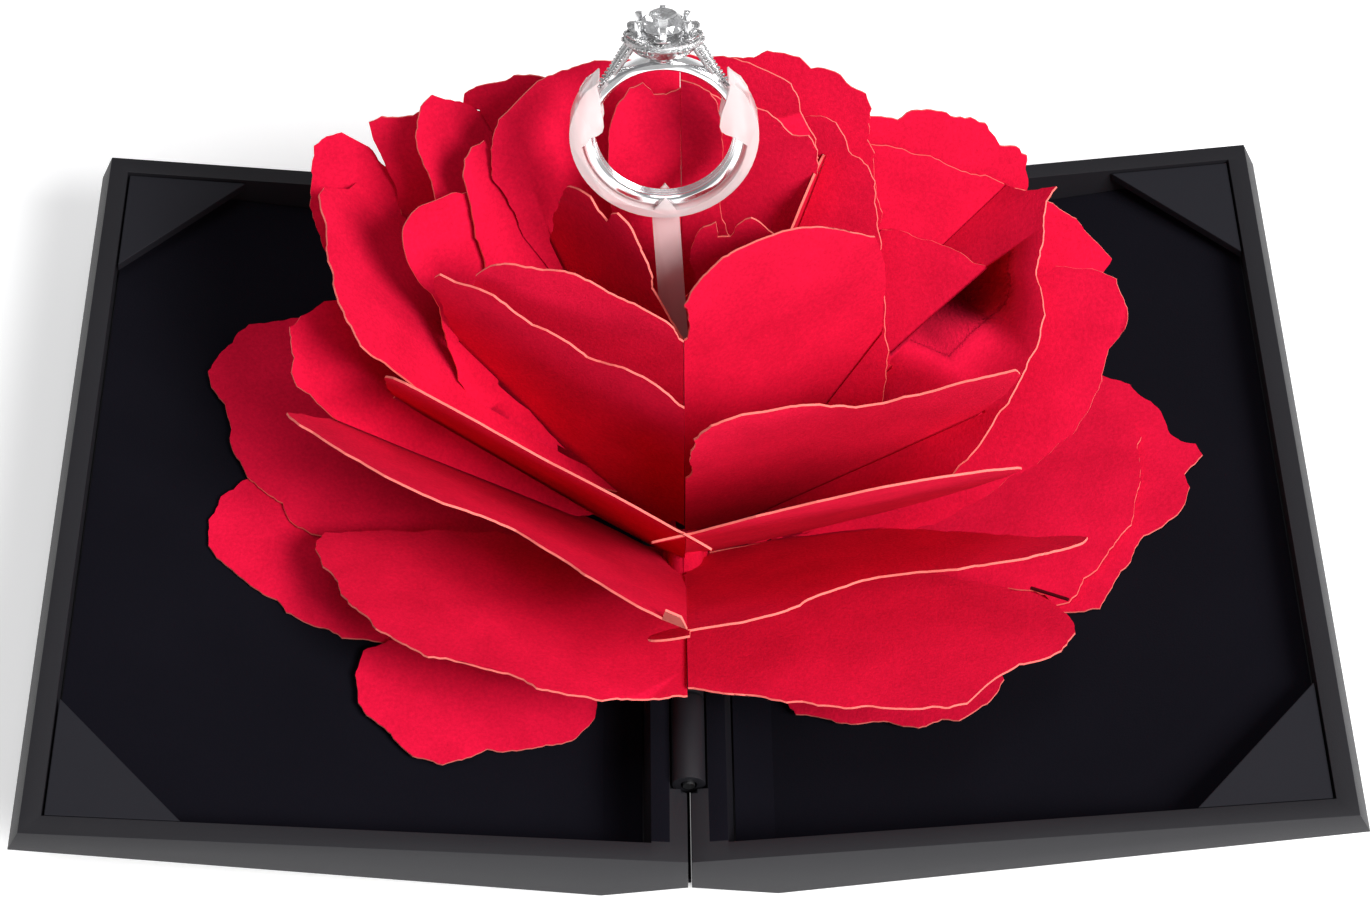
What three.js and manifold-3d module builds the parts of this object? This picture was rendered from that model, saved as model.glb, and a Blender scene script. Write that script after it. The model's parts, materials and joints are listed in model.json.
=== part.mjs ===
// Pop-up paper-rose ring box: a thin hinged box opened flat like a book, a rose of red card petals
// that rises from its fold, and a diamond ring in a clear holder on a stem above the rose.
// Millimetres. +Z up, +X to the right along both leaves, +Y away from the viewer.
// The hinge runs along Y over the origin, and the two keels of the open box rest on z = 0.
import * as THREE from 'three';
import { mergeVertices } from 'three/addons/utils/BufferGeometryUtils.js';
import Module from 'manifold-3d';

const wasm = await Module();
wasm.setup();

const degree = Math.PI / 180;

// Box leaves
const leafWidth = 85;
const boxDepth = 112;
const openTilt = 7.2;
const rimFlare = 1.6;
const rimHeight = 4.85;
const keelAcross = 10.4;
const keelDrop = 10.8;
const spineDrop = 7.4;
const spineGap = 0.5;
const closingGap = 0.2;
const shellWall = 1.2;
const rimStrip = 2.6;
const spineStrip = 5;
const wellWall = 2.8;
const wellHalfLength = 31;
const linerThickness = 0.45;
const linerGap = 0.25;
const gussetLeg = 17;
const gussetThickness = 1.5;
const gussetTop = -0.5;
const magnetRadius = 3.5;
const magnetGap = 0.15;
const magnetInset = 4.9;

// Hinge
const barrelRadius = 2.2;
const barrelClearance = 0.3;
const pinRadius = 0.8;
const pinClearance = 0.3;
const knuckleGap = 0.4;
const hingeEnd = 45;
const knuckleStops = [-45, -32, -19, -7.9, -3.5, 9, 21, 33, 45];
const knuckleOwners = ['left', 'right', 'left', 'stem', 'right', 'left', 'right', 'left'];

// Stem, ring holder and ring
const stemLean = 20;
const postRadius = 1.25;
const postStart = 1.6;
const postEnd = 13;
const socketDepth = 5;
const pivotRadius = 0.45;
const pivotClearance = 0.3;
const stemWidth = 3.5;
const stemThickness = 1;
const ringDistance = 63.6;
const ringShift = -2.2;
const ringInnerRadius = 8.9;
const ringOuterRadius = 10.2;
const ringHalfWidth = 1.3;
const ringClearance = 0.3;
const holderWall = 1.4;
const holderThinning = 0.4;
const holderHalfWidth = 2;
const holderOpening = 44;
const headFoot = 9.9;
const galleryRadius = 3.75;
const galleryStretch = 1.3;
const galleryFrom = 11.2;
const galleryTo = 13.6;
const stoneRadius = 2.95;
const stoneGirdle = 14.6;
const stoneCrown = 1.5;
const stonePavilion = 2.1;
const prongRadius = 0.42;
const prongCount = 6;
const stoneClearance = 0.12;

// Rose
const cardThickness = 0.3;
const cardGap = 0.3;
const layerPitch = 0.4;
const foldGap = 0.3;
const stemRoom = 2.2;
const edgeStep = 2.1;
const raggedness = 0.55;

const cosTilt = Math.cos(openTilt * degree);
const sinTilt = Math.sin(openTilt * degree);
const linerSlope = (keelDrop - rimHeight) / (leafWidth + rimFlare - keelAcross);
const underside = (across) => -keelDrop + linerSlope * (across - keelAcross);
const linerTop = (across) => underside(across) + shellWall + linerGap + linerThickness;
const rimTop = -closingGap / 2;

// Where the vertical spine wall of the open box lies in a leaf's own frame.
const spinePoint = (height) => {
  const x = spineGap / 2;
  return [x * cosTilt + height * sinTilt, -x * sinTilt + height * cosTilt];
};
const hingeHeight = keelDrop * cosTilt - keelAcross * sinTilt;

const materials = {
  shell: new THREE.MeshStandardMaterial({ color: 0x1b1c1f, roughness: 0.55, metalness: 0 }),
  liner: new THREE.MeshStandardMaterial({ color: 0x14151b, roughness: 0.95, metalness: 0 }),
  gusset: new THREE.MeshStandardMaterial({ color: 0x1c1d22, roughness: 0.8, metalness: 0 }),
  magnet: new THREE.MeshStandardMaterial({ color: 0x8f9296, roughness: 0.35, metalness: 0.9 }),
  pin: new THREE.MeshStandardMaterial({ color: 0x6d6f73, roughness: 0.4, metalness: 0.9 }),
  carrier: new THREE.MeshStandardMaterial({ color: 0x1b1c1f, roughness: 0.5, metalness: 0 }),
  clear: new THREE.MeshStandardMaterial({
    color: 0xf3eff0, roughness: 0.12, metalness: 0, transparent: true, opacity: 0.45,
  }),
  gold: new THREE.MeshStandardMaterial({ color: 0xdadbdf, roughness: 0.15, metalness: 1 }),
  stone: new THREE.MeshStandardMaterial({ color: 0xf6f8fc, roughness: 0.02, metalness: 0.1 }),
  card: new THREE.MeshStandardMaterial({ color: 0xe0142f, roughness: 0.85, metalness: 0 }),
  cardDeep: new THREE.MeshStandardMaterial({ color: 0xb80f26, roughness: 0.85, metalness: 0 }),
};

const root = new THREE.Group();
root.name = 'pop_up_rose_ring_box';

function solid(geometry) {
  const plain = geometry.clone();
  plain.deleteAttribute('normal');
  plain.deleteAttribute('uv');
  const merged = mergeVertices(plain, 1e-4);
  return new wasm.Manifold(new wasm.Mesh({
    numProp: 3,
    vertProperties: new Float32Array(merged.attributes.position.array),
    triVerts: new Uint32Array(merged.index.array),
  }));
}

function geometryOf(body) {
  const mesh = body.getMesh();
  const geometry = new THREE.BufferGeometry();
  geometry.setAttribute('position', new THREE.BufferAttribute(new Float32Array(mesh.vertProperties), 3));
  geometry.setIndex(new THREE.BufferAttribute(new Uint32Array(mesh.triVerts), 1));
  geometry.computeVertexNormals();
  return geometry;
}

function addNode(parent, name, shape, material) {
  const geometry = shape.isBufferGeometry ? shape : geometryOf(shape);
  const mesh = new THREE.Mesh(geometry, material.clone());
  mesh.name = name;
  parent.add(mesh);
  return mesh;
}

function outline(points) {
  const area = points.reduce((sum, [x, y], i) => {
    const [nextX, nextY] = points[(i + 1) % points.length];
    return sum + x * nextY - nextX * y;
  }, 0);
  const ordered = area > 0 ? points : [...points].reverse();
  return new THREE.Shape(ordered.map(([x, y]) => new THREE.Vector2(x, y)));
}

function slab(points, from, to) {
  const geometry = new THREE.ExtrudeGeometry(outline(points), { depth: to - from, bevelEnabled: false });
  geometry.translate(0, 0, from);
  return geometry;
}

// A section in (across, up), run along the depth of the box.
function alongDepth(points, near, far) {
  const geometry = slab(points, -far, -near);
  geometry.rotateX(Math.PI / 2);
  return geometry;
}

function rodAlongDepth(radius, near, far, sides = 32) {
  const geometry = new THREE.CylinderGeometry(radius, radius, far - near, sides);
  geometry.translate(0, (near + far) / 2, 0);
  return geometry;
}

// Everything on a leaf is shaped for the right side, and mirrored for the left.
function forSide(side, body) {
  return side === 'right' ? body : body.mirror([1, 0, 0]);
}

// ---- Box leaves ----

const halfDepth = boxDepth / 2;
const innerWall = leafWidth - rimStrip;
const innerHalf = halfDepth - rimStrip;

const leafFrames = {};
for (const side of ['left', 'right']) {
  const group = new THREE.Group();
  group.name = `${side}_leaf_frame`;
  group.position.z = hingeHeight;
  group.rotation.y = (side === 'right' ? -1 : 1) * openTilt * degree;
  root.add(group);
  leafFrames[side] = group;
}

function leafShell(side) {
  const outside = [
    [spinePoint(0)[0], rimTop],
    spinePoint(-spineDrop),
    [keelAcross, -keelDrop],
    [leafWidth + rimFlare, -rimHeight],
    [leafWidth, rimTop],
  ];
  let shell = solid(alongDepth(outside, -halfDepth, halfDepth));
  const spineSlope = (keelDrop - spineDrop) / (keelAcross - spinePoint(-spineDrop)[0]);
  const floorAtStrip = -keelDrop + shellWall + spineSlope * (keelAcross - spineStrip);
  const cavity = [
    [spineStrip, 1],
    [spineStrip, floorAtStrip],
    [keelAcross, -keelDrop + shellWall],
    [innerWall, underside(innerWall) + shellWall],
    [innerWall, 1],
  ];
  shell = shell.subtract(solid(alongDepth(cavity, -innerHalf, innerHalf)));
  // The rose's well: the strip beside the hinge is thinned and lowered where the petals come out.
  const well = [[wellWall, 1], [wellWall, -6.6], [spineStrip + 0.2, -6.6], [spineStrip + 0.2, 1]];
  shell = shell.subtract(solid(alongDepth(well, -wellHalfLength, wellHalfLength)));
  const lowered = [[-2, 1], [-2, -1.5], [spineStrip, -1.5], [spineStrip, 1]];
  shell = shell.subtract(solid(alongDepth(lowered, -wellHalfLength, wellHalfLength)));
  const groove = rodAlongDepth(barrelRadius + barrelClearance, -hingeEnd - knuckleGap, hingeEnd + knuckleGap);
  shell = shell.subtract(solid(groove));
  knuckleOwners.forEach((owner, i) => {
    if (owner !== side) {
      return;
    }
    const near = knuckleStops[i] + knuckleGap / 2;
    const far = knuckleStops[i + 1] - knuckleGap / 2;
    const web = [[0.7, -3.6], [wellWall, -3.6], [wellWall, -1.5], [0.7, -1.5]];
    shell = shell.add(solid(rodAlongDepth(barrelRadius, near, far)));
    shell = shell.add(solid(alongDepth(web, near, far)));
  });
  const bore = rodAlongDepth(pinRadius + pinClearance, -hingeEnd - 1, hingeEnd + 1, 24);
  return shell.subtract(solid(bore));
}

function leafLiner() {
  const base = shellWall + linerGap;
  const spineSlope = (keelDrop - spineDrop) / (keelAcross - spinePoint(-spineDrop)[0]);
  const start = spineStrip + cardGap;
  const end = innerWall - cardGap;
  const startFloor = -keelDrop + spineSlope * (keelAcross - start) + base;
  const section = [
    [start, startFloor],
    [keelAcross, -keelDrop + base],
    [end, underside(end) + base],
    [end, underside(end) + base + linerThickness],
    [keelAcross, -keelDrop + base + linerThickness],
    [start, startFloor + linerThickness],
  ];
  return solid(alongDepth(section, -innerHalf + cardGap, innerHalf - cardGap));
}

function leafGusset(near) {
  const outer = innerWall - cardGap;
  const edge = innerHalf - cardGap;
  const corner = [[outer, edge], [outer - gussetLeg, edge], [outer, edge - gussetLeg]];
  const points = corner.map(([x, y]) => [x, near ? -y : y]);
  return solid(slab(points, gussetTop - gussetThickness, gussetTop));
}

function leafMagnet(near) {
  const top = gussetTop - gussetThickness - magnetGap;
  const bottom = linerTop(innerWall - magnetInset + magnetRadius) + magnetGap;
  const geometry = new THREE.CylinderGeometry(magnetRadius, magnetRadius, top - bottom, 32);
  geometry.rotateX(Math.PI / 2);
  const y = innerHalf - magnetInset;
  geometry.translate(innerWall - magnetInset, near ? -y : y, (top + bottom) / 2);
  return solid(geometry);
}

for (const side of ['left', 'right']) {
  const frame = leafFrames[side];
  addNode(frame, `${side}_shell`, forSide(side, leafShell(side)), materials.shell);
  addNode(frame, `${side}_liner`, forSide(side, leafLiner()), materials.liner);
  addNode(frame, `${side}_gusset_near`, forSide(side, leafGusset(true)), materials.gusset);
  addNode(frame, `${side}_gusset_far`, forSide(side, leafGusset(false)), materials.gusset);
  addNode(frame, `${side}_magnet_near`, forSide(side, leafMagnet(true)), materials.magnet);
  addNode(frame, `${side}_magnet_far`, forSide(side, leafMagnet(false)), materials.magnet);
}

const hinge = new THREE.Group();
hinge.name = 'hinge_frame';
hinge.position.z = hingeHeight;
root.add(hinge);
addNode(hinge, 'hinge_pin', rodAlongDepth(pinRadius, -hingeEnd, hingeEnd, 24), materials.pin);

// ---- Low petals, glued flat over the liner ----

// Outlines in (across, depth) on the leaf, with the height of the card over the liner.
const lowPetals = {
  left_low_petal_side: {
    over: 0.95,
    points: [[14, -2], [51, -6], [57, -1], [62, 4], [66, 16], [68, 18], [66, 24], [64, 28], [56, 31], [32, 30], [12, 14]],
  },
  left_low_petal_middle: {
    over: 0.35,
    points: [[12, -12], [14, 0], [40, 2], [62, 2], [65, -3], [66, -6], [65, -9], [64, -11], [59, -15], [56, -17],
      [51, -20], [43, -22], [24, -21]],
  },
  left_low_petal_front: {
    over: 0.95,
    points: [[13, -21], [30, -22], [43, -23], [44, -26], [44, -31], [41, -35], [34, -40], [27, -38], [18, -36],
      [12, -32], [11.5, -28]],
  },
  right_low_petal_side: {
    over: 0.95,
    points: [[12, 8], [40, 15], [56, 14], [61, 12], [64, 9], [64, 2], [61, -8], [55, -15], [51, -19], [47, -16],
      [14, -10]],
  },
  right_low_petal_middle: {
    over: 0.35,
    points: [[12, 10], [42, 20], [60, 19], [67, 13], [69, 7], [73, 3], [70, 0], [70, -4], [63, -10], [60, -14],
      [55, -20], [52, -20], [14, -18]],
  },
  right_low_petal_front: {
    over: 0.95,
    points: [[13, -21], [41, -22], [42, -30], [41, -32], [38, -34], [32, -35], [31, -36], [30, -35], [20, -33],
      [13, -30]],
  },
};

// A torn-looking edge: walks a closed smooth curve in short steps and nudges it in and out.
function raggedLoop(points, sharpStart, phase, amount) {
  const corners = points.map(([x, y]) => new THREE.Vector3(x, y, 0));
  const curve = new THREE.CatmullRomCurve3(corners, false, 'centripetal');
  const steps = Math.max(8, Math.round(curve.getLength() / edgeStep));
  const loop = [];
  for (let i = 0; i <= steps; i += 1) {
    const t = i / steps;
    const point = curve.getPointAt(t);
    const along = curve.getTangentAt(t);
    const fade = Math.min(1, 6 * t, 6 * (1 - t));
    const wave = Math.sin(i * 1.7 + phase) + 0.6 * Math.sin(i * 2.9 + 2 * phase) + 0.5 * Math.sin(i * 0.8 + phase);
    const shift = amount * fade * wave * 0.5;
    loop.push([point.x + along.y * shift, point.y - along.x * shift]);
  }
  return sharpStart ? [sharpStart, ...loop] : loop;
}

const linerAngle = Math.atan(linerSlope);
Object.entries(lowPetals).forEach(([name, petal], i) => {
  const side = name.split('_')[0];
  const loop = raggedLoop([...petal.points, petal.points[0]], null, 1.3 * i, raggedness).slice(0, -1);
  const geometry = slab(loop, 0, cardThickness);
  geometry.translate(-keelAcross, 0, 0);
  geometry.rotateY(-linerAngle);
  const floor = -keelDrop + shellWall + linerGap + linerThickness;
  geometry.translate(keelAcross, 0, floor + petal.over);
  addNode(leafFrames[side], name, forSide(side, solid(geometry)), materials.card);
});

// ---- Stem carrier: an eye on the hinge pin and a post that keeps to the middle of the fold ----

const stemIndex = knuckleOwners.indexOf('stem');
const stemNear = knuckleStops[stemIndex] + knuckleGap / 2;
const stemFar = knuckleStops[stemIndex + 1] - knuckleGap / 2;
const stemY = (stemNear + stemFar) / 2;

const stemGroup = new THREE.Group();
stemGroup.name = 'stem_frame';
stemGroup.position.set(0, stemY, hingeHeight);
stemGroup.rotation.x = -stemLean * degree;
root.add(stemGroup);

function upright(radius, from, to, sides = 24) {
  const geometry = new THREE.CylinderGeometry(radius, radius, to - from, sides);
  geometry.rotateX(Math.PI / 2);
  geometry.translate(0, 0, (from + to) / 2);
  return geometry;
}

function stemCarrier() {
  const eye = rodAlongDepth(barrelRadius, stemNear - stemY, stemFar - stemY);
  eye.rotateX(stemLean * degree);
  const bore = rodAlongDepth(pinRadius + pinClearance, -8, 8, 24);
  bore.rotateX(stemLean * degree);
  const body = solid(eye).add(solid(upright(postRadius, postStart, postEnd)));
  const socket = upright(pivotRadius + pivotClearance, postEnd - socketDepth, postEnd + 1, 16);
  return body.subtract(solid(bore)).subtract(solid(socket));
}
addNode(stemGroup, 'stem_carrier', stemCarrier(), materials.carrier);

// ---- Clear holder and ring, in the stem's frame: x across, y to the back, z up the stem ----

function ringBand(inner, outer, halfWidth, ease) {
  const profile = [
    [inner, -halfWidth + ease],
    [inner + ease, -halfWidth],
    [outer - ease, -halfWidth],
    [outer, -halfWidth + ease],
    [outer, halfWidth - ease],
    [outer - ease, halfWidth],
    [inner + ease, halfWidth],
    [inner, halfWidth - ease],
    [inner, -halfWidth + ease],
  ];
  const geometry = new THREE.LatheGeometry(profile.map(([x, y]) => new THREE.Vector2(x, y)), 72);
  return geometry;
}

function clearHolder() {
  const inner = ringOuterRadius + ringClearance;
  const outer = inner + holderWall;
  const at = (radius, angle) => [radius * Math.cos(angle * degree), radius * Math.sin(angle * degree)];
  const points = [];
  const arcSteps = 46;
  const fromAngle = holderOpening;
  const toAngle = -180 - holderOpening;
  for (let i = 0; i <= arcSteps; i += 1) {
    const angle = fromAngle + ((toAngle - fromAngle) * i) / arcSteps;
    const grow = Math.min(1, Math.min(i, arcSteps - i) / 6);
    const thinning = holderThinning * Math.max(0, -Math.sin(angle * degree));
    const radius = inner + 0.75 + (outer - thinning - inner - 0.75) * grow;
    points.push(at(radius, angle));
  }
  for (let i = arcSteps; i >= 0; i -= 1) {
    const angle = fromAngle + ((toAngle - fromAngle) * i) / arcSteps;
    const near = Math.min(1, Math.min(i, arcSteps - i) / 6);
    points.push(at(inner + 0.55 * (1 - near), angle));
  }
  let body = solid(alongDepth(points, -holderHalfWidth, holderHalfWidth));
  // The arms widen into flat cheeks over both faces of the band, each with a rounded catch inward.
  const cheek = [[inner + 0.7, 42], [9.5, 34], [8.2, 27], [7.45, 19], [7.1, 12], [7.2, 6.5], [7.7, 3], [8.7, 0],
    [9.7, -4], [inner + 0.4, -8], [inner + 0.9, -4], [outer - 0.2, 8], [outer - 0.2, 26], [outer - 0.25, 34]];
  const foot = [[outer - 0.7, 260], [10, 264], [8.6, 270], [10, 276], [outer - 0.7, 280]];
  const right = cheek.map(([radius, angle]) => at(radius, angle));
  const left = cheek.map(([radius, angle]) => at(radius < 9 ? radius + 0.6 : radius, 180 - angle));
  const bottom = foot.map(([radius, angle]) => at(radius, angle));
  const cheekFrom = ringHalfWidth + ringClearance;
  for (const shape of [right, left, bottom]) {
    body = body.add(solid(alongDepth(shape, -holderHalfWidth, -cheekFrom)));
    body = body.add(solid(alongDepth(shape, cheekFrom, holderHalfWidth)));
  }
  body = body.translate([ringShift, 0, ringDistance]);
  // The strip runs from the pivot to the holder's low point, a little to one side.
  const stripTop = ringDistance - inner - 0.3;
  const half = stemWidth / 2;
  const strip = [[-half, postEnd + 0.3], [half, postEnd + 0.3], [ringShift + half, stripTop],
    [ringShift - half, stripTop]];
  body = body.add(solid(alongDepth(strip, -stemThickness / 2, stemThickness / 2)));
  const pivot = upright(pivotRadius, postEnd - socketDepth + 0.3, postEnd + 0.8, 16);
  return body.add(solid(pivot));
}
addNode(stemGroup, 'ring_holder', clearHolder(), materials.clear);

function ringWithHead() {
  let body = solid(ringBand(ringInnerRadius, ringOuterRadius, ringHalfWidth, 0.3));
  const gallery = [
    [0, headFoot],
    [1.2, headFoot],
    [1.6, galleryFrom - 0.6],
    [galleryRadius - 1, galleryFrom],
    [galleryRadius, galleryTo - 1],
    [galleryRadius - 0.1, galleryTo - 0.35],
    [galleryRadius - 0.8, galleryTo],
    [0, galleryTo],
  ];
  const cup = new THREE.LatheGeometry(gallery.map(([x, y]) => new THREE.Vector2(x, y)), 36);
  cup.rotateX(Math.PI / 2);
  cup.scale(galleryStretch, 1, 1);
  body = body.add(solid(cup));
  for (let i = 0; i < prongCount; i += 1) {
    const angle = ((i + 0.5) * 2 * Math.PI) / prongCount;
    const start = new THREE.Vector3(1.9 * Math.cos(angle), 1.9 * Math.sin(angle), galleryTo - 0.8);
    const reach = stoneRadius + 0.3;
    const end = new THREE.Vector3(1.08 * reach * Math.cos(angle), reach * Math.sin(angle), stoneGirdle + 0.7);
    const direction = end.clone().sub(start);
    const rod = new THREE.CylinderGeometry(prongRadius * 0.85, prongRadius, direction.length(), 10);
    const turn = new THREE.Quaternion().setFromUnitVectors(new THREE.Vector3(0, 1, 0), direction.clone().normalize());
    rod.applyQuaternion(turn);
    rod.translate(...start.clone().add(end).multiplyScalar(0.5).toArray());
    body = body.add(solid(rod));
  }
  // Split shoulders that climb from the band to the gallery on both sides.
  for (const hand of [-1, 1]) {
    for (const face of [-1, 1]) {
      const path = new THREE.CatmullRomCurve3([
        new THREE.Vector3(hand * 7.7, 0, 5.7),
        new THREE.Vector3(hand * 6.2, face * 0.7, 8.4),
        new THREE.Vector3(hand * 4.9, face * 1, 10.6),
        new THREE.Vector3(hand * 3.6, face * 1, 12.6),
      ]);
      const section = new THREE.Shape();
      section.absarc(0, 0, 0.5, 0, 2 * Math.PI, false);
      const geometry = new THREE.ExtrudeGeometry(section, { steps: 10, curveSegments: 8, extrudePath: path });
      body = body.add(solid(geometry));
    }
  }
  const room = stoneSolid(stoneClearance);
  return body.subtract(room);
}

function stoneSolid(extra) {
  const profile = [
    [0, stoneGirdle - stonePavilion - extra],
    [stoneRadius + extra, stoneGirdle - extra],
    [stoneRadius + extra, stoneGirdle + 0.15 + extra],
    [stoneRadius * 0.58 + extra, stoneGirdle + stoneCrown + extra],
    [0, stoneGirdle + stoneCrown + extra],
  ];
  const geometry = new THREE.LatheGeometry(profile.map(([x, y]) => new THREE.Vector2(x, y)), 24);
  geometry.rotateX(Math.PI / 2);
  return solid(geometry);
}

addNode(stemGroup, 'ring', ringWithHead().translate([ringShift, 0, ringDistance]), materials.gold);
addNode(stemGroup, 'ring_stone', stoneSolid(0).translate([ringShift, 0, ringDistance]), materials.stone);

// ---- Rose petals that stand up from the fold ----

// Each half petal is a flat piece of card. Its fold line on the leaf starts at foot (across, depth)
// on one of the closed layers and runs off at swing degrees from straight back. The card rises
// from that line at lift degrees, leaning to the front (1) or to the back (-1). Its edge is given
// from the foot, as [degrees from the fold line, distance].
const petals = [
  { name: 'right_heart_petal', foot: [2, -5], layer: 5, swing: 68, lift: 93, lean: 1, torn: 0.3,
    edge: [[92, 40], [84, 41], [83, 49], [78, 54], [72, 56], [67, 57], [60, 56], [55, 55], [48, 48], [43, 42],
      [30, 36], [22, 30], [8, 14]] },
  { name: 'left_fourth_petal', foot: [1, -5], layer: 4, swing: 62, lift: 80, lean: 1, torn: 0.6,
    edge: [[100, 38], [89, 40], [85, 42], [78, 44], [72, 43], [67, 46], [61, 49], [57, 54], [52, 55], [50, 57],
      [46, 53], [34, 36], [7, 14]] },
  { name: 'right_fourth_petal', foot: [1, -5], layer: 4, swing: 79, lift: 73, lean: 1, torn: 0.8,
    edge: [[96, 26], [88, 28], [87, 39], [84, 46], [77, 48], [68, 48], [60, 46], [52, 49], [47, 53], [42, 58],
      [40, 59], [30, 44], [7, 14]] },
  { name: 'left_heart_petal', foot: [2, -2], layer: 5, swing: 75, lift: 88, lean: 1, torn: 0.4,
    edge: [[96, 40], [86, 42], [84, 45], [81, 47], [76, 49], [70, 53], [65, 54], [60, 55], [56, 54], [44, 40],
      [8, 14]] },
  { name: 'right_third_petal', foot: [1, -7], layer: 3, swing: 82, lift: 61, lean: 1, torn: 0.6,
    edge: [[100, 32], [89, 33], [80, 38], [72, 43], [60, 51], [48, 54], [36, 54], [31, 49], [20, 34], [6, 14]] },
  { name: 'left_third_petal', foot: [0, -8], layer: 3, swing: 61, lift: 63, lean: 1, torn: 0.3,
    edge: [[110, 32], [97, 33], [80, 36], [65, 39], [55, 47], [46, 54], [34, 50], [23, 45], [14, 28], [5, 14]] },
  { name: 'right_second_petal', foot: [0, -7], layer: 2, swing: 82, lift: 41, lean: 1, torn: 0.6,
    edge: [[105, 34], [92, 35], [73, 37], [62, 35], [50, 37], [43, 46], [36, 56], [30, 60], [28, 50], [24, 42],
      [12, 26], [5, 14]] },
  { name: 'left_second_petal', foot: [-1, -9], layer: 2, swing: 61, lift: 47, lean: 1, torn: 0.8,
    edge: [[112, 36], [100, 39], [88, 38], [81, 37], [70, 36], [60, 38], [56, 46], [51, 52], [43, 57], [34, 62],
      [31, 58], [21, 49], [12, 28], [5, 14]] },
  { name: 'right_first_petal', foot: [2, -6], layer: 1, swing: 96, lift: 23, lean: 1, torn: 0.8,
    edge: [[100, 32], [85, 32], [67, 37], [52, 45], [42, 51], [33, 51], [24, 55], [19, 55], [14, 51], [9, 32],
      [5, 14]] },
  { name: 'left_first_petal', foot: [0, -6], layer: 1, swing: 82, lift: 22, lean: 1, torn: 1,
    edge: [[108, 33], [94, 33], [83, 36], [70, 39], [57, 41], [44, 47], [34, 49], [25, 50], [14, 51], [9, 32],
      [5, 14]] },
  { name: 'left_bud_petal', foot: [1, 3], layer: 8, swing: 46, lift: 84, lean: 1, torn: 0.8,
    edge: [[96, 32], [81, 43], [80, 47], [77, 53], [74, 54], [72, 51], [69, 55], [64, 53], [57, 46], [52, 41],
      [42, 30], [9, 13]] },
  { name: 'right_bud_petal', foot: [2, 1], layer: 8, swing: 95, lift: 78, lean: -1, torn: 0.8,
    edge: [[100, 30], [85, 39], [85, 46], [82, 50], [80, 47], [77, 51], [72, 49], [60, 36], [8, 12]] },
  { name: 'right_inner_side_petal', foot: [1, 2], layer: 7, swing: 22, lift: 73, lean: 1, torn: 0.5,
    edge: [[80, 40], [72, 46], [69, 48], [62, 55], [48, 52], [34, 49], [26, 38], [8, 14]] },
  { name: 'left_inner_spike_petal', foot: [1, 1], layer: 7, swing: 125, lift: 52, lean: -1, torn: 0.5,
    edge: [[100, 38], [84, 43], [79, 47], [79, 58], [78, 61], [75, 60], [72, 54], [68, 46], [55, 34], [10, 14]] },
  { name: 'left_inner_back_petal', foot: [3, -2], layer: 6, swing: 120, lift: 51, lean: -1, torn: 0.6,
    edge: [[110, 45], [85, 52], [70, 58], [66, 59], [63, 57], [61, 54], [60, 48], [50, 36], [10, 14]] },
  { name: 'left_tall_side_petal', foot: [1, 3], layer: 5, swing: 129, lift: 46, lean: -1, torn: 0.6,
    edge: [[118, 45], [100, 52], [86, 60], [82, 65], [80, 67], [76, 65], [74, 60], [72, 55], [60, 42], [10, 14]] },
  { name: 'right_inner_back_petal', foot: [2, -1], layer: 6, swing: 115, lift: 54, lean: -1, torn: 0.8,
    edge: [[110, 50], [90, 56], [81, 61], [80, 61], [76, 57], [75, 58], [70, 53], [65, 47], [45, 33], [10, 13]] },
  { name: 'left_notched_back_petal', foot: [1, 1], layer: 6, swing: 98, lift: 68, lean: -1, torn: 0.1,
    edge: [[104, 66], [89, 65], [86, 63.8], [84.8, 63.2], [84, 64.2], [82.7, 65.8], [81.8, 65.4], [80.7, 64.4],
      [79.4, 62.4], [78.4, 59.5], [77.2, 54], [76, 46], [62, 32], [10, 13]] },
  { name: 'right_notched_back_petal', foot: [1, 1], layer: 7, swing: 98, lift: 68, lean: -1, torn: 0.1,
    edge: [[104, 66], [89, 65.4], [86.4, 65.1], [85.2, 64.6], [84.1, 64], [83.1, 62.6], [82.4, 60], [81.8, 56],
      [81, 46], [64, 32], [10, 13]] },
  { name: 'right_back_petal_a', foot: [1, 3], layer: 4, swing: 107, lift: 65, lean: -1, torn: 0.8,
    edge: [[110, 60], [91, 62], [86, 61], [82, 61], [79, 60], [77, 59], [74, 59], [72, 55], [72, 46], [60, 36],
      [10, 14]] },
  { name: 'right_back_petal_b', foot: [0, 5], layer: 4, swing: 109, lift: 63, lean: -1, torn: 0.8,
    edge: [[120, 58], [105, 62], [92, 64], [84, 65], [80, 64], [77, 62], [77, 61], [74, 58], [62, 44], [10, 14]] },
  { name: 'right_back_petal_c', foot: [1, 7], layer: 3, swing: 98, lift: 61, lean: -1, torn: 0.8,
    edge: [[120, 56], [100, 60], [84, 62], [79, 63], [77, 64], [74, 64], [72, 63], [70, 64], [68, 63], [65, 62],
      [63, 58], [52, 44], [10, 14]] },
  { name: 'right_broad_back_petal', foot: [2, 8], layer: 5, swing: 80, lift: 70, lean: -1, torn: 0.8,
    edge: [[110, 48], [80, 54], [60, 57], [56, 58], [53, 59], [51, 61], [46, 63], [42, 64], [39, 63], [36, 64],
      [33, 62], [31, 60], [24, 44], [8, 14]] },
  { name: 'left_mid_back_petal_a', foot: [3, 7], layer: 5, swing: 74, lift: 70, lean: -1, torn: 0.7,
    edge: [[110, 50], [85, 56], [66, 60], [64, 61], [62, 62], [58, 62], [54, 62], [52, 61], [40, 45], [10, 14]] },
  { name: 'left_mid_back_petal_b', foot: [4, 7], layer: 5, swing: 76, lift: 71, lean: -1, torn: 0.7,
    edge: [[90, 50], [70, 54], [58, 56], [54, 60], [51, 62], [48, 62], [42, 64], [40, 58], [32, 44], [8, 14]] },
  { name: 'left_broad_back_petal', foot: [5, 3], layer: 4, swing: 98, lift: 46, lean: -1, torn: 0.8,
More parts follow.
